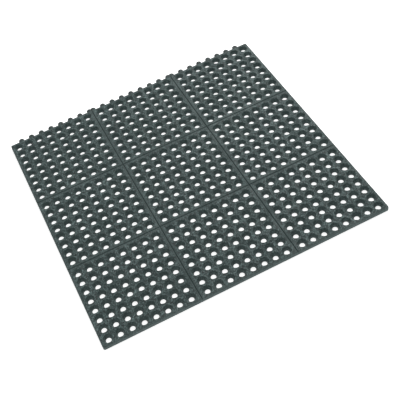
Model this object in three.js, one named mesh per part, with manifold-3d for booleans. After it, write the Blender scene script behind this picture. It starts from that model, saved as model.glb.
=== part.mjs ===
// A square rubber floor tile, moulded in one piece: a flat mat of three by three sections,
// parted by shallow grooves, each with a square grid of round drain holes that narrow
// downwards. A row of connector knobs stands out of one edge, a little below its top.
// Millimetres, +Z up. The origin is the middle of the underside, +Y points to the knobs.
import * as THREE from 'three';
import { mergeVertices } from 'three/addons/utils/BufferGeometryUtils.js';
import Module from 'manifold-3d';

// The mat: its outer sides are trimmed in from the module of whole sections.
const sectionSide = 304.8;
const sectionsPerSide = 3;
const sideTrim = 2.4;
const thickness = 12.7;
const cornerRadius = 5;
const edgeEase = 1;
const cornerArcSteps = 2;

// The holes: the margin runs from a section's edge to the centres of its outermost holes,
// the web is the rubber left between two rims, and the lean is how far a hole's wall comes
// in between its rim and the underside.
const holesPerSide = 8;
const sectionMargin = 25.2;
const webWidth = 6.8;
const holeLean = 6.9;
const holeSides = 8;

// The grooves between the sections
const grooveWidth = 3;
const grooveDepth = 3;

// The connector knobs: the reach is how far they stand out, and the flare widens their roots.
const knobDiameter = 19;
const knobReach = 18;
const knobHeight = 10.5;
const knobFlare = 3;
const knobRoot = 4;
const knobArcSteps = 3;

// How far a cutting body runs past the faces that it cuts.
const overrun = 2;

const rubberColor = 0x4f5857;
const rubberRoughness = 0.72;

const tileSide = sectionSide * sectionsPerSide - 2 * sideTrim;
const holePitch = (sectionSide - 2 * sectionMargin) / (holesPerSide - 1);
const rimDiameter = holePitch - webWidth;

const wasm = await Module();
wasm.setup();

function toSolid(geometry) {
  geometry.deleteAttribute('normal');
  geometry.deleteAttribute('uv');
  const merged = mergeVertices(geometry);
  const mesh = new wasm.Mesh({
    numProp: 3,
    vertProperties: new Float32Array(merged.attributes.position.array),
    triVerts: new Uint32Array(merged.index.array),
  });
  return new wasm.Manifold(mesh);
}

function toGeometry(solid) {
  const mesh = solid.getMesh();
  const geometry = new THREE.BufferGeometry();
  geometry.setAttribute('position', new THREE.BufferAttribute(mesh.vertProperties, 3));
  geometry.setIndex(new THREE.BufferAttribute(mesh.triVerts, 1));
  geometry.computeVertexNormals();
  return geometry;
}

// Places along one side of the mat, from its middle.
function sectionCentres() {
  const centres = [];
  for (let section = 0; section < sectionsPerSide; section += 1) {
    centres.push((section - (sectionsPerSide - 1) / 2) * sectionSide);
  }
  return centres;
}

function holeCentres() {
  const centres = [];
  for (const middle of sectionCentres()) {
    for (let hole = 0; hole < holesPerSide; hole += 1) {
      centres.push(middle + (hole - (holesPerSide - 1) / 2) * holePitch);
    }
  }
  return centres;
}

// A knob stands half a pitch beside each hole, but none at the mat's two outer corners.
function knobCentres() {
  const centres = [];
  for (const middle of sectionCentres()) {
    for (let knob = 0; knob <= holesPerSide; knob += 1) {
      centres.push(middle + (knob - holesPerSide / 2) * holePitch);
    }
  }
  return centres.slice(1, -1);
}

function matOutline() {
  const half = tileSide / 2;
  const turn = half - cornerRadius;
  const outline = new THREE.Shape();
  outline.absarc(turn, turn, cornerRadius, 0, Math.PI / 2, false);
  outline.absarc(-turn, turn, cornerRadius, Math.PI / 2, Math.PI, false);
  outline.absarc(-turn, -turn, cornerRadius, Math.PI, 1.5 * Math.PI, false);
  outline.absarc(turn, -turn, cornerRadius, 1.5 * Math.PI, 2 * Math.PI, false);
  return outline;
}

// The mat without holes, its upper and lower outer edges eased, standing on the floor.
function matSlab() {
  const slab = new THREE.ExtrudeGeometry(matOutline(), {
    depth: thickness - 2 * edgeEase,
    bevelThickness: edgeEase,
    bevelSize: edgeEase,
    bevelOffset: -edgeEase,
    bevelSegments: 1,
    curveSegments: cornerArcSteps,
  });
  slab.translate(0, 0, edgeEase);
  return toSolid(slab);
}

function knobOutline() {
  const radius = knobDiameter / 2;
  const outline = new THREE.Shape();
  outline.moveTo(-radius - knobFlare, -knobRoot);
  outline.lineTo(-radius - knobFlare, 0);
  outline.lineTo(-radius, knobFlare);
  outline.absarc(0, knobReach - radius, radius, Math.PI, 0, true);
  outline.lineTo(radius, knobFlare);
  outline.lineTo(radius + knobFlare, 0);
  outline.lineTo(radius + knobFlare, -knobRoot);
  return outline;
}

// One groove across the whole mat, along X, at the height of the walking face.
function grooveCutter() {
  const profile = new THREE.Shape();
  profile.moveTo(0, thickness - grooveDepth);
  profile.lineTo(grooveWidth / 2, thickness);
  profile.lineTo(grooveWidth / 2, thickness + overrun);
  profile.lineTo(-grooveWidth / 2, thickness + overrun);
  profile.lineTo(-grooveWidth / 2, thickness);
  const length = tileSide + 2 * overrun;
  const cutter = new THREE.ExtrudeGeometry(profile, { depth: length, bevelEnabled: false });
  cutter.translate(0, 0, -length / 2);
  cutter.rotateX(Math.PI / 2);
  cutter.rotateZ(Math.PI / 2);
  return toSolid(cutter);
}

// One hole, wide at the walking face and narrow at the underside, with flat sides to X and Y.
function holeCutter() {
  const slope = holeLean / thickness;
  const corner = 1 / Math.cos(Math.PI / holeSides);
  const rimRadius = rimDiameter / 2;
  const upper = (rimRadius + slope * overrun) * corner;
  const lower = (rimRadius - slope * (thickness + overrun)) * corner;
  const height = thickness + 2 * overrun;
  const turn = Math.PI / holeSides;
  const cutter = new THREE.CylinderGeometry(upper, lower, height, holeSides, 1, false, turn);
  cutter.rotateX(Math.PI / 2);
  cutter.translate(0, 0, thickness / 2);
  return toSolid(cutter);
}

function wholeMat() {
  const knob = toSolid(new THREE.ExtrudeGeometry(knobOutline(), {
    depth: knobHeight,
    bevelEnabled: false,
    curveSegments: knobArcSteps,
  }));
  let mat = matSlab();
  for (const x of knobCentres()) {
    mat = mat.add(knob.translate([x, tileSide / 2, 0]));
  }
  const groove = grooveCutter();
  for (const middle of sectionCentres().slice(1)) {
    const seam = middle - sectionSide / 2;
    mat = mat.subtract(groove.translate([0, seam, 0]));
    mat = mat.subtract(groove.rotate([0, 0, 90]).translate([seam, 0, 0]));
  }
  return mat;
}

// One row of sections, from the groove in front of it to the groove behind it.
function sectionRow(mat, middle, hole) {
  const isLast = middle === sectionCentres().at(-1);
  const width = tileSide + 2 * overrun;
  const behind = isLast ? knobReach + overrun : 0;
  const block = new THREE.BoxGeometry(width, sectionSide + behind, thickness + 2 * overrun);
  block.translate(0, middle + behind / 2, thickness / 2);
  let row = mat.intersect(toSolid(block));
  for (const x of holeCentres()) {
    for (const y of holeCentres()) {
      if (Math.abs(y - middle) < sectionSide / 2) {
        row = row.subtract(hole.translate([x, y, 0]));
      }
    }
  }
  return row;
}

const rubber = new THREE.MeshStandardMaterial({
  color: rubberColor,
  roughness: rubberRoughness,
  metalness: 0,
});

const rowNames = ['front_row', 'middle_row', 'connector_row'];
const tile = new THREE.Group();
const mat = wholeMat();
const hole = holeCutter();
sectionCentres().forEach((middle, index) => {
  const row = new THREE.Mesh(toGeometry(sectionRow(mat, middle, hole)), rubber.clone());
  row.name = rowNames[index];
  tile.add(row);
});

export default tile;
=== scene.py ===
import math

import bmesh
import bpy
from mathutils import Matrix, Vector
from mathutils.geometry import delaunay_2d_cdt


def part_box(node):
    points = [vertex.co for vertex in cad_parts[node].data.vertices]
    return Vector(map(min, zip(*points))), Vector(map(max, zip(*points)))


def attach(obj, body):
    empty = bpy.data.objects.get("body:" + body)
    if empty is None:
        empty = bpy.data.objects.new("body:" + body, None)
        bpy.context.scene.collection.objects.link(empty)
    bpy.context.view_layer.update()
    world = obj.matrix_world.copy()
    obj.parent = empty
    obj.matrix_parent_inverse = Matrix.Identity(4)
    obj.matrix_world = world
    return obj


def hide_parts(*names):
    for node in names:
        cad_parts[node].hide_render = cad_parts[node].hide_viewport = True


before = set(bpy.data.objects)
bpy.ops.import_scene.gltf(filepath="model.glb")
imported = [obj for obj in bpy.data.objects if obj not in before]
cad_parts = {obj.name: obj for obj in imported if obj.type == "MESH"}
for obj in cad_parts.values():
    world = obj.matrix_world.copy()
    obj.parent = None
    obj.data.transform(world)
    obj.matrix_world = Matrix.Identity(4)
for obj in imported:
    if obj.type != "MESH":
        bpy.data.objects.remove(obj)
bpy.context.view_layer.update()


# The mat, pressed and cured as one sheet: three rows of three sections with shallow
# grooves between them. Its middle row gives the size of a section and the thickness, and
# its width is a little less than three sections, so the outer sections are trimmed.
row_low, row_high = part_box("middle_row")
section_side = row_high.y - row_low.y
section_half = section_side / 2
sheet_half = row_high.x
thickness = row_high.z
sections = round(2 * sheet_half / section_side)
section_middles = [(k - (sections - 1) / 2) * section_side for k in range(sections)]
side_trim = sections * section_half - sheet_half


# The drain holes are cored out by tapered pins in the mould, so they narrow downwards.
# The pins' shoulders leave a rounded rim, and their tips a small ease at the underside.
MM = 0.001
holes_per_side = 8
section_margin = 25.2 * MM
web_width = 6.8 * MM
hole_lean = 6.9 * MM
hole_steps = 24
rim_round = 2.0 * MM
rim_steps = 4
mouth_ease = 0.3 * MM
pitch = (section_side - 2 * section_margin) / (holes_per_side - 1)
rim_radius = (pitch - web_width) / 2
cell_half = pitch / 2
field_half = holes_per_side * cell_half
hole_places = [(k - (holes_per_side - 1) / 2) * pitch for k in range(holes_per_side)]


def wall_radius(height):
    return rim_radius - hole_lean * (thickness - height) / thickness


def circle(radius, steps, start=0.0, end=math.tau):
    closed = math.isclose(end - start, math.tau)
    count = steps if closed else steps + 1
    turns = [start + (end - start) * k / steps for k in range(count)]
    return [Vector((radius * math.cos(turn), radius * math.sin(turn))) for turn in turns]


def hole_profile():
    """Radius and height of the hole's wall, from the underside up to the rim."""
    rings = [(wall_radius(0) + mouth_ease, 0.0), (wall_radius(mouth_ease), mouth_ease)]
    foot = thickness - rim_round
    for k in range(rim_steps + 1):
        turn = math.pi / 2 * k / rim_steps
        radius = wall_radius(foot) + rim_round * (1 - math.cos(turn))
        rings.append((radius, foot + rim_round * math.sin(turn)))
    return rings


# The walking face between the rims: each diamond between four holes is sunk a little
# below the raised lips of the holes, and has a small ring with a dimple in its middle.
# The bands along the grooves stay at full height.
lip_width = 1.4 * MM
lip_fall = 1.5 * MM
diamond_sink = 1.0 * MM
pip_rings = [1.0 * MM, 1.7 * MM, 2.6 * MM, 3.5 * MM]
pip_heights = [0.2 * MM, 1.0 * MM, 1.0 * MM, 0.0]
pip_steps = 4
lip_inner = hole_profile()[-1][0]
lip_outer = lip_inner + lip_width
lip_foot = lip_outer + lip_fall
foot_turn = math.acos(cell_half / lip_foot)
foot_steps = 5
whole_hull = 0

# Two points nearer to each other than this are the same point.
point_gap = 0.0001 * MM


def blend(value, low, high):
    share = min(max((value - low) / (high - low), 0.0), 1.0)
    return share * share * (3 - 2 * share)


def pip_rise(distance):
    """Height of the ring above the sunk diamond, at a distance from its middle."""
    if distance < pip_rings[0]:
        return pip_heights[0]
    for inner, outer, low, high in zip(pip_rings, pip_rings[1:], pip_heights, pip_heights[1:]):
        if distance < outer:
            return low + (high - low) * (distance - inner) / (outer - inner)
    return 0.0


def face_height(x, y):
    """Height of the walking face in a section, measured from the section's middle."""
    to_hole = []
    to_diamond = []
    inside = True
    for place in (x, y):
        hole = round(place / pitch - 0.5) + 0.5
        hole = min(max(hole, 0.5 - holes_per_side / 2), holes_per_side / 2 - 0.5)
        diamond = round(place / pitch)
        inside = inside and abs(diamond) < holes_per_side / 2
        to_hole.append(place - hole * pitch)
        to_diamond.append(place - diamond * pitch)
    if not inside:
        return thickness
    sink = diamond_sink * blend(math.hypot(*to_hole), lip_outer, lip_foot)
    return thickness - sink + min(pip_rise(math.hypot(*to_diamond)), sink)


def cell_outline():
    """Where the rings of a cell's four corners meet its square boundary, in order."""
    meets = [cell_half - ring for ring in pip_rings] + [lip_foot * math.sin(foot_turn)]
    places = sorted([-meet for meet in meets] + meets + [0.0])
    return [-cell_half] + places + [cell_half]


edge_places = cell_outline()


def cell_faces(inner_radius, with_relief):
    """Points and triangles of a square cell round a hole, seen from above."""
    points = circle(inner_radius, hole_steps)
    for place in edge_places[:-1]:
        points.append(Vector((place, -cell_half)))
        points.append(Vector((cell_half, place)))
        points.append(Vector((-place, cell_half)))
        points.append(Vector((-cell_half, -place)))
    if with_relief:
        points += circle(lip_outer, hole_steps)
        for quarter in range(4):
            turn = quarter * math.pi / 2
            arc = circle(lip_foot, foot_steps, turn + foot_turn, turn + math.pi / 2 - foot_turn)
            points += arc[1:-1]
            corner = Vector((cell_half, cell_half))
            corner.rotate(Matrix.Rotation(turn, 2))
            for ring in pip_rings:
                arc = circle(ring, pip_steps, turn + math.pi, turn + 1.5 * math.pi)
                points += [corner + point for point in arc[1:-1]]
    found = delaunay_2d_cdt(points, [], [], whole_hull, point_gap)
    flat_points, triangles = found[0], found[2]
    kept = []
    for triangle in triangles:
        middle = sum((flat_points[k] for k in triangle), Vector((0.0, 0.0))) / 3
        if middle.length > inner_radius * math.cos(math.pi / hole_steps):
            kept.append(triangle)
    return flat_points, kept


# Points of a finished skin that are nearer to each other than this are welded.
weld_gap = 0.002 * MM


class Skin:
    """Collects points and faces, with one point for each place."""

    def __init__(self):
        self.points = []
        self.faces = []
        self.materials = []
        self.found = {}

    def point(self, x, y, z):
        key = (round(x / point_gap), round(y / point_gap), round(z / point_gap))
        if key not in self.found:
            self.found[key] = len(self.points)
            self.points.append((x, y, z))
        return self.found[key]

    def face(self, corners, material=0):
        kept = [corner for k, corner in enumerate(corners) if corner != corners[k - 1]]
        if len(kept) > 2:
            self.faces.append(kept)
            self.materials.append(material)

    def piece(self, name):
        mesh = bpy.data.meshes.new(name)
        mesh.from_pydata(self.points, [], self.faces)
        mesh.polygons.foreach_set("material_index", self.materials)
        mesh.validate()
        mesh.update()
        shape = bmesh.new()
        shape.from_mesh(mesh)
        bmesh.ops.remove_doubles(shape, verts=shape.verts, dist=weld_gap)
        bmesh.ops.recalc_face_normals(shape, faces=shape.faces)
        shape.to_mesh(mesh)
        shape.free()
        for polygon in mesh.polygons:
            polygon.use_smooth = True
        made = bpy.data.objects.new(name, mesh)
        bpy.context.collection.objects.link(made)
        return made


# The grooves, bands and outer edges. A groove is a rounded notch between two sections, the
# bands beside it and along the outer edges are smoother than the field of holes, and the
# sheet's outer edges and corners are eased by the mould.
groove_mouth = 1.8 * MM
groove_depth = 3.0 * MM
groove_steps = 4
band_inset = 3.4 * MM
band_material = 1
edge_round = 1.0 * MM
edge_steps = 3
edge_flat = 1.6 * MM
corner_radius = 5.0 * MM


def reach(is_outer):
    """How far a side of a section lies from the section's middle."""
    return section_half - side_trim if is_outer else section_half


def side_stations(is_outer):
    """Distance from a section's side and drop of the face there, going inwards."""
    stations = []
    if is_outer:
        for k in range(edge_steps + 1):
            turn = math.pi / 2 * k / edge_steps
            stations.append((edge_round * (1 - math.cos(turn)), edge_round * (1 - math.sin(turn))))
        return stations + [(edge_flat, 0.0)]
    for k in range(groove_steps + 1):
        share = k / groove_steps
        drop = groove_depth * (1 + math.cos(math.pi * share)) / 2
        stations.append((groove_mouth * share, drop))
    return stations + [(band_inset, 0.0)]


def line_places(low_outer, high_outer):
    """Places across a section and the drop at each, from its low side to its high side."""
    low = [(inset - reach(low_outer), drop) for inset, drop in side_stations(low_outer)]
    high = [(reach(high_outer) - inset, drop) for inset, drop in reversed(side_stations(high_outer))]
    cells = []
    for middle in hole_places:
        cells += [(middle + place, 0.0) for place in edge_places[:-1]]
    return low + cells + [(field_half, 0.0)] + high


def corner_turn(x, y):
    """Moves a point near one of the sheet's corners onto the corner's round."""
    straight = sheet_half - corner_radius
    past_x = abs(x) - straight
    past_y = abs(y) - straight
    if past_x <= 0 or past_y <= 0:
        return x, y
    share = max(past_x, past_y) / math.hypot(past_x, past_y)
    across = straight + past_x * share
    along = straight + past_y * share
    return math.copysign(across, x), math.copysign(along, y)


top_cell = cell_faces(lip_inner, True)
under_cell = cell_faces(wall_radius(0) + mouth_ease, False)
hole_rings = hole_profile()


def add_cell(skin, middle_x, middle_y, hole_x, hole_y):
    """One hole with the square of walking face and underside round it."""
    centre_x, centre_y = middle_x + hole_x, middle_y + hole_y
    for flat, is_top in ((top_cell, True), (under_cell, False)):
        points, triangles = flat
        placed = []
        for point in points:
            x, y = corner_turn(centre_x + point.x, centre_y + point.y)
            z = face_height(hole_x + point.x, hole_y + point.y) if is_top else 0.0
            placed.append(skin.point(x, y, z))
        for triangle in triangles:
            skin.face([placed[k] for k in triangle])
    rings = []
    for radius, z in hole_rings:
        around = circle(radius, hole_steps)
        rings.append([skin.point(centre_x + spot.x, centre_y + spot.y, z) for spot in around])
    for lower, upper in zip(rings, rings[1:]):
        for k in range(hole_steps):
            skin.face([lower[k - 1], lower[k], upper[k], upper[k - 1]])


def add_bands(skin, middle_x, middle_y, across, along):
    """The smooth bands between a section's outermost cells and its sides."""
    for is_top in (True, False):
        for left, right in zip(across, across[1:]):
            for front, back in zip(along, along[1:]):
                mid_x = (left[0] + right[0]) / 2
                mid_y = (front[0] + back[0]) / 2
                if max(abs(mid_x), abs(mid_y)) < field_half:
                    continue
                corners = []
                ends = ((left, front), (right, front), (right, back), (left, back))
                for (x, drop_x), (y, drop_y) in ends:
                    place = corner_turn(middle_x + x, middle_y + y)
                    z = thickness - max(drop_x, drop_y) if is_top else 0.0
                    corners.append(skin.point(*place, z))
                skin.face(corners, band_material)


def add_wall(skin, line, place_at):
    """One upright side of a row, from its upper edge down to the floor."""
    for (start, start_drop), (end, end_drop) in zip(line, line[1:]):
        here, there = place_at(start), place_at(end)
        skin.face([
            skin.point(*here, 0.0),
            skin.point(*there, 0.0),
            skin.point(*there, thickness - end_drop),
            skin.point(*here, thickness - start_drop),
        ])


def mat_row(name, row):
    """A row of sections as one closed skin, with upright walls all round it."""
    skin = Skin()
    last = sections - 1
    middle_y = section_middles[row]
    along = line_places(row == 0, row == last)
    for column, middle_x in enumerate(section_middles):
        across = line_places(column == 0, column == last)
        for hole_x in hole_places:
            for hole_y in hole_places:
                add_cell(skin, middle_x, middle_y, hole_x, hole_y)
        add_bands(skin, middle_x, middle_y, across, along)
        for sign, is_outer in ((-1, row == 0), (1, row == last)):
            side = sign * reach(is_outer)
            drop = edge_round if is_outer else groove_depth
            line = [(x, max(fall, drop)) for x, fall in across]
            add_wall(skin, line, lambda x: corner_turn(middle_x + x, middle_y + side))
    for side in (-sheet_half, sheet_half):
        line = [(y, max(fall, edge_round)) for y, fall in along]
        add_wall(skin, line, lambda y: corner_turn(side, middle_y + y))
    return skin.piece(name)


# Tiles of this kind are moulded from black rubber filled with reclaimed crumb, against a
# grit-blasted steel plate. That leaves them matt, with a salt and pepper of crumb, greyed
# by bloom and dust where feet touch them. The upright walls and the sides of the holes
# get a plainer wall colour instead, painted in as shade for the holes.
def linear(code):
    """An sRGB hex colour as linear red, green, blue and alpha."""
    parts = [int(code[k:k + 2], 16) / 255 for k in (1, 3, 5)]
    bent = [part / 12.92 if part <= 0.04045 else ((part + 0.055) / 1.055) ** 2.4 for part in parts]
    return (*bent, 1.0)


def add(tree, kind, inputs=None, **settings):
    """Adds a node, sets it up, and links or fills its inputs."""
    node = tree.nodes.new(kind)
    for name, value in settings.items():
        setattr(node, name, value)
    for name, value in (inputs or {}).items():
        socket = node.inputs[name]
        if isinstance(value, bpy.types.NodeSocket):
            tree.links.new(value, socket)
        else:
            socket.default_value = value
    return node


field_rubber = ("#131e1e", "#2e403f", "#637776")
band_rubber = ("#2a3837", "#394948", "#4b5d5c")
# Knob colours: unworn rubber without bloom or dust, darkened further as painted shade on the knobs.
knob_rubber_and_shade = ("#131c1c", "#1f2c2b", "#43524f")
# Painted shade: the plain colour mixed onto upright walls and the sides of the holes.
wall_painted_shade = "#3d4e4d"
mottle_dark = "#283736"
wall_shade_share = 0.65
wall_tilt = 0.45
face_tilt = 0.95

# Real crumb is about 1 mm, too fine to show in the picture, so it is drawn coarser.
crumb_size = 2.8 * MM
crumb_shares = (0.2, 0.5, 0.85)
mottle_size = 45.0 * MM
mottle_detail = 4.0
mottle_low = 0.35
mottle_high = 0.7
mottle_most = 0.45
gloss_low = 0.3
gloss_high = 0.7
smoothest = 0.62
roughest = 0.8
rubber_ior = 1.52
field_grit = 0.5 * MM
band_grit = 0.12 * MM
knob_grit = 0.3 * MM


def crumb_rubber(name, crumb_colors, grit_depth):
    material = bpy.data.materials.new(name)
    material.use_nodes = True
    tree = material.node_tree
    tree.nodes.clear()
    place = add(tree, "ShaderNodeTexCoord").outputs["Object"]
    crumb = add(tree, "ShaderNodeTexVoronoi", {"Vector": place, "Scale": 1 / crumb_size})
    mottle = add(tree, "ShaderNodeTexNoise", {
        "Vector": place,
        "Scale": 1 / mottle_size,
        "Detail": mottle_detail,
    })
    speck = add(tree, "ShaderNodeValToRGB", {"Fac": crumb.outputs["Color"]})
    stops = speck.color_ramp.elements
    stops.new(crumb_shares[1])
    for stop, share, code in zip(stops, crumb_shares, crumb_colors):
        stop.position = share
        stop.color = linear(code)
    mottling = add(tree, "ShaderNodeMapRange", {
        "Value": mottle.outputs["Fac"],
        "From Min": mottle_low,
        "From Max": mottle_high,
        "To Max": mottle_most,
    })
    dirty = add(tree, "ShaderNodeMix", {
        "Factor": mottling.outputs["Result"],
        "A": speck.outputs["Color"],
        "B": linear(mottle_dark),
    }, data_type="RGBA")
    normal = add(tree, "ShaderNodeNewGeometry").outputs["True Normal"]
    upward = add(tree, "ShaderNodeSeparateXYZ", {"Vector": normal}).outputs["Z"]
    # Painted shade by facing: upward faces keep the crumb colour greyed by bloom and dust, faces
    # turned away from the sky take the plain wall colour.
    dust_and_wall_shade = add(tree, "ShaderNodeMapRange", {
        "Value": upward,
        "From Min": wall_tilt,
        "From Max": face_tilt,
    }, interpolation_type="SMOOTHSTEP")
    wall = add(tree, "ShaderNodeMix", {
        "Factor": wall_shade_share,
        "A": dirty.outputs["Result"],
        "B": linear(wall_painted_shade),
    }, data_type="RGBA")
    body = add(tree, "ShaderNodeMix", {
        "Factor": dust_and_wall_shade.outputs["Result"],
        "A": wall.outputs["Result"],
        "B": dirty.outputs["Result"],
    }, data_type="RGBA")
    bump = add(tree, "ShaderNodeBump", {
        "Height": crumb.outputs["Distance"],
        "Distance": grit_depth,
    }, invert=True)
    gloss = add(tree, "ShaderNodeMapRange", {
        "Value": mottle.outputs["Fac"],
        "From Min": gloss_low,
        "From Max": gloss_high,
        "To Min": smoothest,
        "To Max": roughest,
    })
    shader = add(tree, "ShaderNodeBsdfPrincipled", {
        "Base Color": body.outputs["Result"],
        "Roughness": gloss.outputs["Result"],
        "Normal": bump.outputs["Normal"],
        "IOR": rubber_ior,
    })
    add(tree, "ShaderNodeOutputMaterial", {"Surface": shader.outputs["BSDF"]})
    return material


field_finish = crumb_rubber("moulded_crumb_rubber", field_rubber, field_grit)
band_finish = crumb_rubber("smooth_moulded_rubber", band_rubber, band_grit)
for row, node in enumerate(("front_row", "middle_row", "connector_row")):
    piece = mat_row("rubber_" + node, row)
    piece.data.materials.append(field_finish)
    piece.data.materials.append(band_finish)
    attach(piece, "root")
    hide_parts(node)


# The connector knobs are moulded with the sheet along its far edge, a little lower than
# its walking face: round-nosed tabs with a crowned top, that lock into the next tile.
# Two that stand close together at a groove run into one another.
knob_radius = 9.5 * MM
knob_reach = 18.0 * MM
knob_height = 10.5 * MM
knob_flare = 3.0 * MM
knob_root = 3.0 * MM
root_steps = 3
knob_side = 6.5 * MM
knob_steps = 14
knob_crown = 5.2 * MM
crown_steps = 4


def knob_ring(inset):
    """Outline of a knob in plan, from its left root round its nose to its right root."""
    radius = knob_radius - inset
    nose = knob_reach - knob_radius
    left = [Vector((-radius - knob_flare, -knob_root)), Vector((-radius - knob_flare, 0.0))]
    for k in range(1, root_steps + 1):
        turn = math.pi / 2 * k / root_steps
        fall = knob_flare * (1 - math.sin(turn))
        left.append(Vector((-radius - fall, knob_flare * (1 - math.cos(turn)))))
    nose_points = circle(radius, knob_steps, math.pi, 0.0)
    right = [Vector((-point.x, point.y)) for point in reversed(left)]
    return left + [point + Vector((0.0, nose)) for point in nose_points] + right


def knob_places():
    places = []
    for middle in section_middles:
        for k in range(holes_per_side + 1):
            places.append((middle, middle + (k - holes_per_side / 2) * pitch))
    return places[1:-1]


knobs = Skin()
for middle, place in knob_places():
    rings = []
    levels = [(0.0, 0.0), (0.0, knob_side)]
    for k in range(1, crown_steps + 1):
        turn = math.pi / 2 * k / crown_steps
        rise = (knob_height - knob_side) * math.sin(turn)
        levels.append((knob_crown * (1 - math.cos(turn)), knob_side + rise))
    for inset, z in levels:
        ring = []
        for point in knob_ring(inset):
            x = min(max(place + point.x, middle - section_half), middle + section_half)
            ring.append(knobs.point(x, sheet_half + point.y, z))
        rings.append(ring)
    for lower, upper in zip(rings, rings[1:]):
        for k in range(len(lower)):
            knobs.face([lower[k - 1], lower[k], upper[k], upper[k - 1]])
    knobs.face(rings[0])
    knobs.face(rings[-1])
knob_piece = knobs.piece("rubber_connector_knobs")
# The knobs' rubber is unworn, and is darkened further as painted shade.
knob_piece.data.materials.append(crumb_rubber("unworn_crumb_rubber_painted_shade", knob_rubber_and_shade, knob_grit))
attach(knob_piece, "root")
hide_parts("connector_row")


# The studio: a seamless white floor, lit so evenly that it burns out to white, as it does
# in the holes too, with the main soft light from behind on the right.
floor_half = 8.0
floor_drop = 0.2 * MM
floor_white = "#f7f7f7"
floor_roughness = 0.9
floor_glow = 0.65
surround_white = "#ffffff"
surround_strength = 0.55
bpy.ops.mesh.primitive_plane_add(size=2 * floor_half, location=(0, 0, -floor_drop))
floor = bpy.context.object
floor.name = "studio_floor"
paper = bpy.data.materials.new("white_paper")
paper.use_nodes = True
paper_shader = paper.node_tree.nodes["Principled BSDF"]
paper_shader.inputs["Base Color"].default_value = linear(floor_white)
paper_shader.inputs["Roughness"].default_value = floor_roughness
paper_shader.inputs["Emission Color"].default_value = linear(floor_white)
paper_shader.inputs["Emission Strength"].default_value = floor_glow
floor.data.materials.append(paper)


def soft_light(name, place, size, power):
    lamp = bpy.data.lights.new(name, "AREA")
    lamp.size = size
    lamp.energy = power
    made = bpy.data.objects.new(name, lamp)
    made.location = place
    made.rotation_euler = (-Vector(place)).to_track_quat("-Z", "Y").to_euler()
    bpy.context.collection.objects.link(made)


soft_light("key_behind_right", place=(1.9, 2.3, 2.4), size=2.0, power=90.0)
soft_light("fill_front_left", place=(-2.0, -2.2, 2.6), size=2.4, power=12.0)
world = bpy.data.worlds.new("soft_surround")
world.use_nodes = True
surround = world.node_tree.nodes["Background"]
surround.inputs["Color"].default_value = linear(surround_white)
surround.inputs["Strength"].default_value = surround_strength
bpy.context.scene.world = world
bpy.context.scene.view_settings.view_transform = "Standard"


# The camera stands in front of the tile and a little to its left, well above it, with a
# short telephoto lens, and is tilted sideways so that the tile's corners point as they do
# in the photograph.
camera_place = Vector((-0.4235, -1.7179, 1.8949))
camera_aim = Vector((-0.0008, -0.1140, 0.0))
camera_roll = 13.95
camera_lens = 73.54
sensor_width = 36.0
lens = bpy.data.cameras.new("camera")
lens.lens = camera_lens
lens.sensor_width = sensor_width
camera = bpy.data.objects.new("camera", lens)
upright = (camera_aim - camera_place).to_track_quat("-Z", "Y").to_matrix()
camera.rotation_euler = (upright @ Matrix.Rotation(math.radians(-camera_roll), 3, "Z")).to_euler()
camera.location = camera_place
bpy.context.collection.objects.link(camera)
bpy.context.scene.camera = camera
